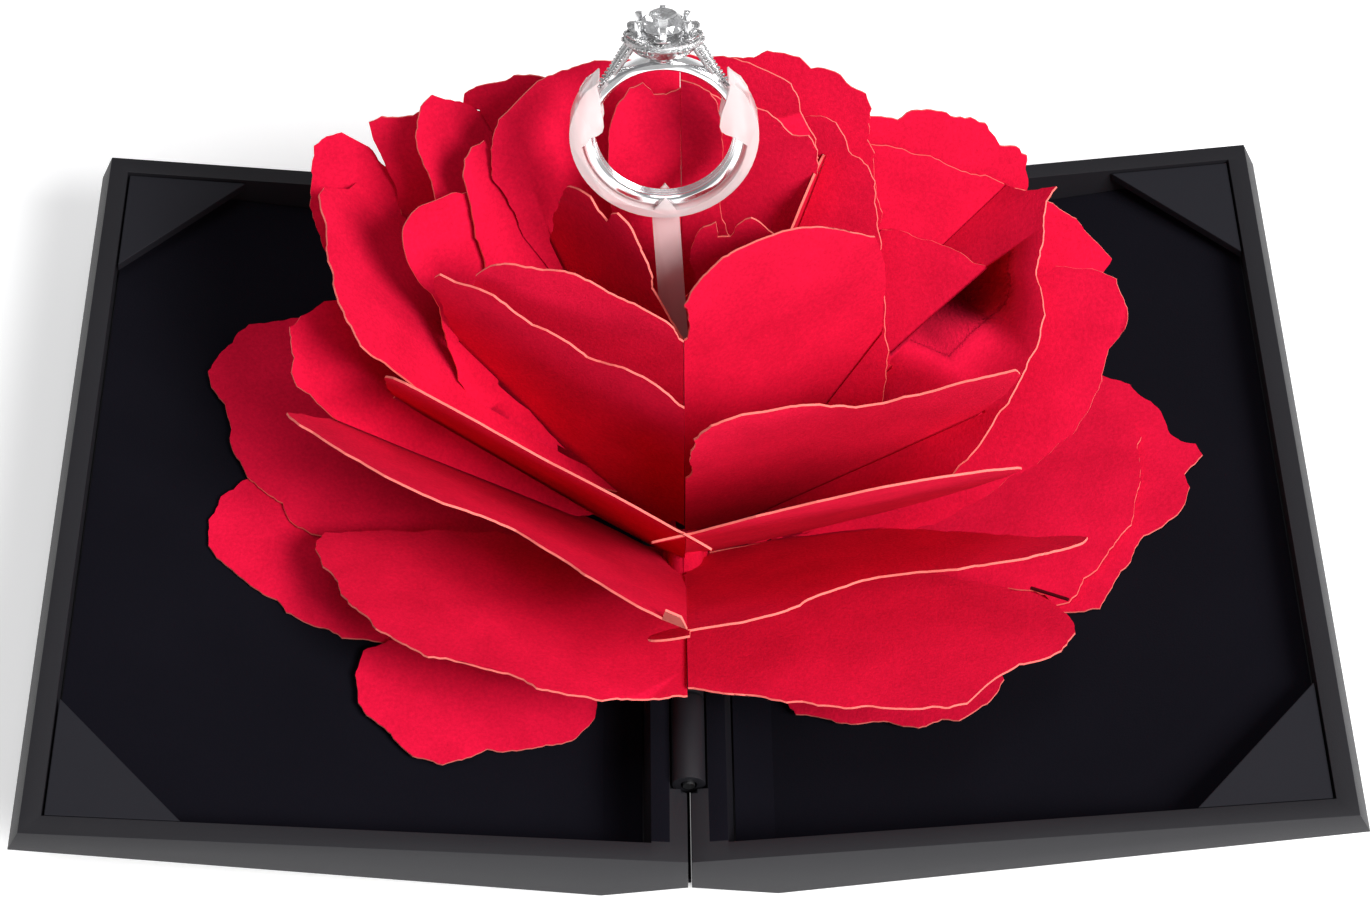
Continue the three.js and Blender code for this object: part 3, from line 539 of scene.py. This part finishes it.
# the ring and its holder
ringLook = {"distance": 0.0636, "shift": -0.0022, "inner": 0.0089, "outer": 0.0102, "paveGap": 0.0001,
            "paveFrom": 0.005, "headTo": 0.01385, "edge": 0.0001, "segments": 2, "angle": 40, "smooth": 40}
holderLook = {"edge": 0.00028, "segments": 2, "angle": 35, "smooth": 50}

turn = joints["ring_turn"]
stemDirection = Vector(turn["axis"]).normalized()
stemFoot = Vector(turn["pos_m"])
ringCentre = stemFoot + stemDirection * ringLook["distance"] + Vector((ringLook["shift"], 0, 0))
lean = math.atan2(stemDirection.y, stemDirection.z)
ringPlace = Matrix.Translation(ringCentre) @ Matrix.Rotation(-lean, 4, "X")

# the holder's pink tint is painted reflection of the red card
holder = cadCopy("ring_holder", "clearHolder")
bevelPiece(holder, holderLook)
smoothByAngle(holder, holderLook["smooth"])
settle(holder, "ring_display", finishes["clearPlastic"])
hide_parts("ring_holder")

ringBody = cadCopy("ring", "ringBand")
bevelPiece(ringBody, ringLook)
smoothByAngle(ringBody, ringLook["smooth"])
settle(ringBody, "ring_display", finishes["whiteGold"])
# the pavé faces of the band get the speckled metal with painted glints
ringBody.data.materials.append(finishes["pave"])
toRing = ringPlace.inverted()
for face in ringBody.data.polygons:
    spot = toRing @ face.center
    away = math.hypot(spot.x, spot.z)
    if away > ringLook["outer"] + ringLook["paveGap"] and ringLook["paveFrom"] < spot.z < ringLook["headTo"]:
        face.material_index = 1
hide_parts("ring")

# set stones: one small bead, copied along the halo and the shoulders
beadLook = {"radius": 0.00026, "squash": 0.7, "each": 40, "scallop": 0.05, "lobes": 6, "aside": 0.0003, "steps": 5,
            "rows": ((0.00452, 0.00345, 0.01345), (0.00474, 0.00364, 0.01275), (0.0043, 0.00328, 0.0121)),
            "shoulder": ((0.0078, 0.00042, 0.0066), (0.0062, 0.0011, 0.0086), (0.00495, 0.0014, 0.0107),
                         (0.0039, 0.0014, 0.0122))}
deselectAll()
bpy.ops.mesh.primitive_ico_sphere_add(subdivisions=2, radius=beadLook["radius"])
bead = newPiece("setStones", Matrix.Identity(4))
editAll(bead)
bpy.ops.transform.resize(value=(1, 1, beadLook["squash"]))
objectMode()
beadPlaces = []
for row, (wide, deep, high) in enumerate(beadLook["rows"]):
    for index in range(beadLook["each"]):
        angle = 2 * math.pi * (index + 0.5 * row) / beadLook["each"]
        scallop = 1 + beadLook["scallop"] * math.cos(beadLook["lobes"] * angle)
        beadPlaces.append((wide * scallop * math.cos(angle), deep * scallop * math.sin(angle), high))
for hand in (-1, 1):
    for face in (-1, 1):
        for (startX, startY, startZ), (endX, endY, endZ) in zip(beadLook["shoulder"], beadLook["shoulder"][1:]):
            for step in range(beadLook["steps"]):
                share = step / beadLook["steps"]
                beadPlaces.append((hand * (startX + (endX - startX) * share + beadLook["aside"]),
                                   face * (startY + (endY - startY) * share), startZ + (endZ - startZ) * share))
beads = [copyPiece(bead, f"setStone{index}", ringPlace @ Matrix.Translation(spot))
         for index, spot in enumerate(beadPlaces)]
bpy.data.objects.remove(bead)
stones = joinPieces(beads, "setStones")
settle(stones, "ring_display", finishes["sparkle"])

# the six raised leaves of the halo
leafLook = {"count": 6, "radius": 0.001, "shape": (1.75, 1.35, 0.42), "turn": 0.5, "wide": 0.0031, "stretch": 1.12,
            "deep": 0.0022, "high": 0.0134, "lean": -24, "smooth": 60}
deselectAll()
bpy.ops.mesh.primitive_uv_sphere_add(segments=20, ring_count=10, radius=leafLook["radius"])
leaf = newPiece("haloLeaf", Matrix.Identity(4))
editAll(leaf)
bpy.ops.transform.resize(value=leafLook["shape"])
objectMode()
leaves = []
for index in range(leafLook["count"]):
    angle = 2 * math.pi * index / leafLook["count"] + leafLook["turn"]
    spot = Matrix.Translation((leafLook["wide"] * math.cos(angle) * leafLook["stretch"],
                               leafLook["deep"] * math.sin(angle), leafLook["high"]))
    tip = Matrix.Rotation(angle, 4, "Z") @ Matrix.Rotation(math.radians(leafLook["lean"]), 4, "Y")
    leaves.append(copyPiece(leaf, f"haloLeaf{index}", ringPlace @ spot @ tip))
bpy.data.objects.remove(leaf)
halo = joinPieces(leaves, "haloLeaves")
smoothByAngle(halo, leafLook["smooth"])
# the halo leaves get the same speckled metal with painted glints
settle(halo, "ring_display", finishes["pave"])

# flat heads on the six prongs
clawLook = {"count": 6, "size": 0.001, "shape": (0.75, 0.85, 1.9), "edge": 0.00014, "wide": 0.00345, "deep": 0.0031,
            "high": 0.0148, "smooth": 40}
deselectAll()
bpy.ops.mesh.primitive_cube_add(size=clawLook["size"])
claw = newPiece("clawHead", Matrix.Identity(4))
editAll(claw)
bpy.ops.transform.resize(value=clawLook["shape"])
bpy.ops.mesh.bevel(offset=clawLook["edge"], segments=2)
objectMode()
claws = []
for index in range(clawLook["count"]):
    angle = 2 * math.pi * (index + 0.5) / clawLook["count"]
    spot = Matrix.Translation((clawLook["wide"] * math.cos(angle), clawLook["deep"] * math.sin(angle),
                               clawLook["high"]))
    claws.append(copyPiece(claw, f"clawHead{index}", ringPlace @ spot @ Matrix.Rotation(angle, 4, "Z")))
bpy.data.objects.remove(claw)
prongs = joinPieces(claws, "clawHeads")
smoothByAngle(prongs, clawLook["smooth"])
settle(prongs, "ring_display", finishes["whiteGold"])

# fine ridges round the inside of the band
ridgeLook = {"count": 3, "sink": 0.00004, "radius": 0.00013, "apart": 0.00062, "smooth": 60}
ridges = []
for index in range(ridgeLook["count"]):
    deselectAll()
    bpy.ops.mesh.primitive_torus_add(major_radius=ringLook["inner"] - ridgeLook["sink"],
                                     minor_radius=ridgeLook["radius"],
                                     major_segments=96, minor_segments=8)
    offset = (index - 1) * ridgeLook["apart"]
    place = ringPlace @ Matrix.Translation((0, offset, 0)) @ Matrix.Rotation(math.pi / 2, 4, "X")
    ridges.append(newPiece(f"innerRidge{index}", place))
innerRidges = joinPieces(ridges, "innerRidges")
smoothByAngle(innerRidges, ridgeLook["smooth"])
settle(innerRidges, "ring_display", finishes["whiteGold"])

# the cut stone: a crown of facets over a pointed pavilion
gemLook = {"radius": 0.00293, "girdle": 0.0147, "crown": 0.00135, "pavilion": 0.002, "table": 0.58, "sides": 16,
           "belt": 0.00016, "shoulder": 0.86}
deselectAll()
bpy.ops.mesh.primitive_cylinder_add(vertices=gemLook["sides"], radius=gemLook["radius"], depth=gemLook["belt"])
gem = newPiece("brilliantStone", Matrix.Identity(4))
for top in (True, False):
    editAll(gem)
    bpy.ops.mesh.select_all(action="DESELECT")
    mesh = bmesh.from_edit_mesh(gem.data)
    for face in mesh.faces:
        face.select = face.normal.z > 0.9 if top else face.normal.z < -0.9
    bmesh.update_edit_mesh(gem.data)
    crownSteps = ((0.5, gemLook["shoulder"]), (0.5, gemLook["table"] / gemLook["shoulder"]))
    pavilionSteps = ((0.55, 0.5), (0.45, 0.04))
    for lift, size in crownSteps if top else pavilionSteps:
        rise = gemLook["crown"] * lift if top else -gemLook["pavilion"] * lift
        bpy.ops.mesh.extrude_region_move(TRANSFORM_OT_translate={"value": (0, 0, rise)})
        bpy.ops.transform.resize(value=(size, size, 1))
        bpy.ops.transform.rotate(value=math.pi / gemLook["sides"], orient_axis="Z",
                                 center_override=(0, 0, 0))
    objectMode()
gem.data.transform(ringPlace @ Matrix.Translation((0, 0, gemLook["girdle"])))
editAll(gem)
bpy.ops.mesh.quads_convert_to_tris(ngon_method="BEAUTY")
objectMode()
settle(gem, "ring_display", finishes["gem"])
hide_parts("ring_stone")
print("ring ready")

# floor, light and camera
stage = {"floorSize": 6.0, "floorTone": (0.93, 0.93, 0.93), "glow": 0.34, "drop": -0.0002,
         "around": 0.42}
deselectAll()
bpy.ops.mesh.primitive_plane_add(size=stage["floorSize"], location=(0, 0, stage["drop"]))
floor = bpy.context.object
floor.name = "paleFloor"
floorFinish = bpy.data.materials.new("paleFloor")
floorFinish.use_nodes = True
floorShader = floorFinish.node_tree.nodes["Principled BSDF"]
floorShader.inputs["Base Color"].default_value = (*stage["floorTone"], 1)
floorShader.inputs["Roughness"].default_value = 0.9
floorShader.inputs["Emission Color"].default_value = (1, 1, 1, 1)
floorShader.inputs["Emission Strength"].default_value = stage["glow"]
floor.data.materials.append(floorFinish)

world = bpy.data.worlds.new("studio")
bpy.context.scene.world = world
world.use_nodes = True
backdrop = world.node_tree.nodes["Background"]
around = world.node_tree.nodes.new("ShaderNodeTexCoord")
split = world.node_tree.nodes.new("ShaderNodeSeparateXYZ")
fade = world.node_tree.nodes.new("ShaderNodeValToRGB")
fade.color_ramp.elements[0].position = 0.15
fade.color_ramp.elements[0].color = (1, 1, 1, 1)
fade.color_ramp.elements[1].position = 0.8
fade.color_ramp.elements[1].color = (0.45, 0.45, 0.47, 1)
world.node_tree.links.new(around.outputs["Generated"], split.inputs["Vector"])
world.node_tree.links.new(split.outputs["Z"], fade.inputs["Fac"])
world.node_tree.links.new(fade.outputs["Color"], backdrop.inputs["Color"])
backdrop.inputs["Strength"].default_value = stage["around"]


def softLight(name, place, aim, size, power):
    light = bpy.data.lights.new(name, "AREA")
    light.shape = "RECTANGLE"
    light.size, light.size_y = size
    light.energy = power
    lamp = bpy.data.objects.new(name, light)
    bpy.context.scene.collection.objects.link(lamp)
    lamp.location = place
    lamp.rotation_euler = (Vector(aim) - Vector(place)).to_track_quat("-Z", "Y").to_euler()


softLight("key", (0.6, -0.5, 0.7), (0, 0, 0.02), (0.42, 0.42), 14)
softLight("top", (0.0, 0.1, 0.95), (0, 0, 0.02), (0.5, 0.5), 2)

cameraLook = {"lens": 71.7, "elevation": 55.0, "distance": 0.3882, "roll": 0.08, "yaw": -0.75,
              "aim": (0.00038, 0.0076, 0.0)}
cameraData = bpy.data.cameras.new("camera")
cameraData.lens = cameraLook["lens"]
cameraData.sensor_width = 36
cameraData.clip_start = 0.01
camera = bpy.data.objects.new("camera", cameraData)
bpy.context.scene.collection.objects.link(camera)
up = math.radians(cameraLook["elevation"])
aside = math.radians(cameraLook["yaw"])
away = Vector((math.sin(aside) * math.cos(up), -math.cos(aside) * math.cos(up), math.sin(up)))
aim = Vector(cameraLook["aim"]) + Vector((0, 0, hingePoint.z))
camera.location = aim + away * cameraLook["distance"]
spin = (-away).to_track_quat("-Z", "Y").to_matrix().to_4x4()
camera.rotation_euler = (spin @ Matrix.Rotation(math.radians(-cameraLook["roll"]), 4, "Z")).to_euler()
bpy.context.scene.camera = camera
bpy.context.scene.view_settings.view_transform = "Standard"
print("stage ready")
